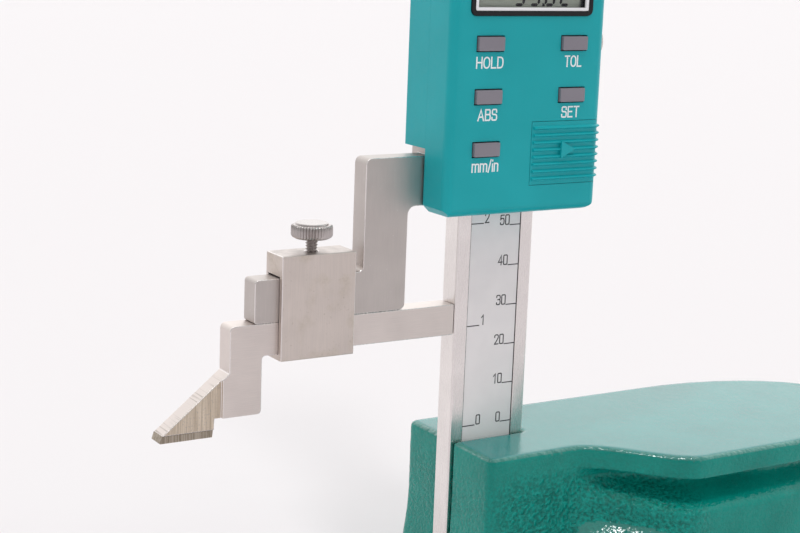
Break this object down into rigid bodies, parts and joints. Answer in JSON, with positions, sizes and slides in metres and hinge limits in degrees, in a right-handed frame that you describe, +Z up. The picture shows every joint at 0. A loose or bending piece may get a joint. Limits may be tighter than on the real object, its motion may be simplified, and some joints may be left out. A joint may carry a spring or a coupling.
{
  "type": "digital height gauge",
  "caption": "Digital height gauge: cast grip base, graduated beam, sliding readout with fine adjustment, and a clamped carbide-tipped scriber for measuring and marking heights.",
  "frame": {"origin": "on the base's underside, under the beam's centre line", "axes": "+Z up along the beam, +X from the scriber to the base's grip end, -Y towards the readout's face"},
  "size_m": [0.2055, 0.0612, 0.478],
  "materials": {
    "base_paint": "hammered gloss paint on cast iron",
    "ground_steel": "ground and brushed stainless steel",
    "knob_steel": "turned and knurled steel",
    "screw_steel": "plain steel screws",
    "dark_steel": "blackened steel",
    "carbide": "ground hard metal",
    "brass": "plain brass",
    "scale_print": "printed strip",
    "circuit": "solder mask",
    "teal_plastic": "fine moulded texture",
    "black_plastic": "smooth",
    "key_plastic": "satin",
    "window": "clear",
    "display": "liquid crystal",
    "connector_rubber": "layered",
    "cell_steel": "nickel plated",
    "contact_metal": "gold plated spring metal"
  },
  "bodies": {
    "stand": {"base_casting": "base_paint", "beam": "ground_steel", "grating": "circuit", "scale_strip": "scale_print", "beam_bolts": "dark_steel", "end_stop": "black_plastic", "end_stop_screws": "screw_steel"},
    "slider": {"slider_frame": "ground_steel", "gib_strip": "brass", "gib_screws": "screw_steel", "lock_pad": "brass", "front_housing": "teal_plastic", "rear_cover": "teal_plastic", "case_screws": "screw_steel", "sensor_board": "circuit", "board_screws": "screw_steel", "display_panel": "display", "display_connectors": "connector_rubber", "display_window": "window", "display_bezel": "black_plastic", "dome_switches": "cell_steel", "battery_cell": "cell_steel", "cell_contact_plate": "contact_metal", "cell_contact_spring": "contact_metal", "fine_rod": "knob_steel"},
    "battery_door": {"battery_door": "teal_plastic"},
    "slider_lock": {"slider_lock_screw": "knob_steel"},
    "clamp": {"scriber_clamp": "ground_steel"},
    "clamp_screw": {"clamp_screw": "knob_steel"},
    "scriber": {"scriber": "ground_steel", "scriber_tip": "carbide"},
    "carriage": {"fine_carriage": "ground_steel", "carriage_pad": "brass"},
    "carriage_lock": {"carriage_lock_screw": "knob_steel"},
    "fine_nut": {"fine_nut": "knob_steel"},
    "hold_key": {"hold_button": "key_plastic"},
    "abs_key": {"abs_button": "key_plastic"},
    "unit_key": {"unit_button": "key_plastic"},
    "tolerance_key": {"tolerance_button": "key_plastic"},
    "set_key": {"set_button": "key_plastic"},
    "power_key": {"power_button": "key_plastic"},
    "zero_key": {"zero_button": "key_plastic"}
  },
  "joints": [
    {"name": "slider_travel", "type": "slide", "parent": "stand", "child": "slider", "axis": [0, 0, 1], "range_m": [-0.05382, 0.24618]},
    {"name": "fine_feed", "type": "slide", "parent": "slider", "child": "carriage", "axis": [0, 0, 1], "range_m": [-0.0028, 0.0028]},
    {"name": "nut_turn", "type": "hinge", "parent": "carriage", "child": "fine_nut", "pos_m": [-0.0164, 0, 0.20202], "axis": [0, 0, 1], "range_deg": [-1440, 1440]},
    {"name": "slider_lock_turn", "type": "hinge", "parent": "slider", "child": "slider_lock", "pos_m": [0.0251, 0, 0.14203], "axis": [1, 0, 0], "range_deg": [-90, 270]},
    {"name": "carriage_lock_turn", "type": "hinge", "parent": "carriage", "child": "carriage_lock", "pos_m": [0.0205, 0, 0.20202], "axis": [1, 0, 0], "range_deg": [-90, 270]},
    {"name": "clamp_slide", "type": "slide", "parent": "slider", "child": "clamp", "axis": [1, 0, 0], "range_m": [-0.0028, 0.0018]},
    {"name": "clamp_screw_turn", "type": "hinge", "parent": "clamp", "child": "clamp_screw", "pos_m": [-0.04945, -0.00025, 0.09682], "axis": [0, 0, 1], "range_deg": [-90, 360]},
    {"name": "scriber_slide", "type": "slide", "parent": "slider", "child": "scriber", "axis": [1, 0, 0], "range_m": [-0.02, 0]},
    {"name": "door_slide", "type": "slide", "parent": "slider", "child": "battery_door", "axis": [1, 0, 0], "range_m": [0, 0.02]},
    {"name": "hold_press", "type": "slide", "parent": "slider", "child": "hold_key", "axis": [0, 1, 0], "range_m": [0, 0.0006], "stiffness_N_per_m": 800, "springref_m": -0.0002},
    {"name": "abs_press", "type": "slide", "parent": "slider", "child": "abs_key", "axis": [0, 1, 0], "range_m": [0, 0.0006], "stiffness_N_per_m": 800, "springref_m": -0.0002},
    {"name": "unit_press", "type": "slide", "parent": "slider", "child": "unit_key", "axis": [0, 1, 0], "range_m": [0, 0.0006], "stiffness_N_per_m": 800, "springref_m": -0.0002},
    {"name": "tolerance_press", "type": "slide", "parent": "slider", "child": "tolerance_key", "axis": [0, 1, 0], "range_m": [0, 0.0006], "stiffness_N_per_m": 800, "springref_m": -0.0002},
    {"name": "set_press", "type": "slide", "parent": "slider", "child": "set_key", "axis": [0, 1, 0], "range_m": [0, 0.0006], "stiffness_N_per_m": 800, "springref_m": -0.0002},
    {"name": "power_press", "type": "slide", "parent": "slider", "child": "power_key", "axis": [0, 1, 0], "range_m": [0, 0.0006], "stiffness_N_per_m": 800, "springref_m": -0.0002},
    {"name": "zero_press", "type": "slide", "parent": "slider", "child": "zero_key", "axis": [0, 1, 0], "range_m": [0, 0.0006], "stiffness_N_per_m": 800, "springref_m": -0.0002}
  ],
  "couplings": [
    {"joint": "nut_turn", "follows": "fine_feed", "rad_per_m": 8976}
  ]
}
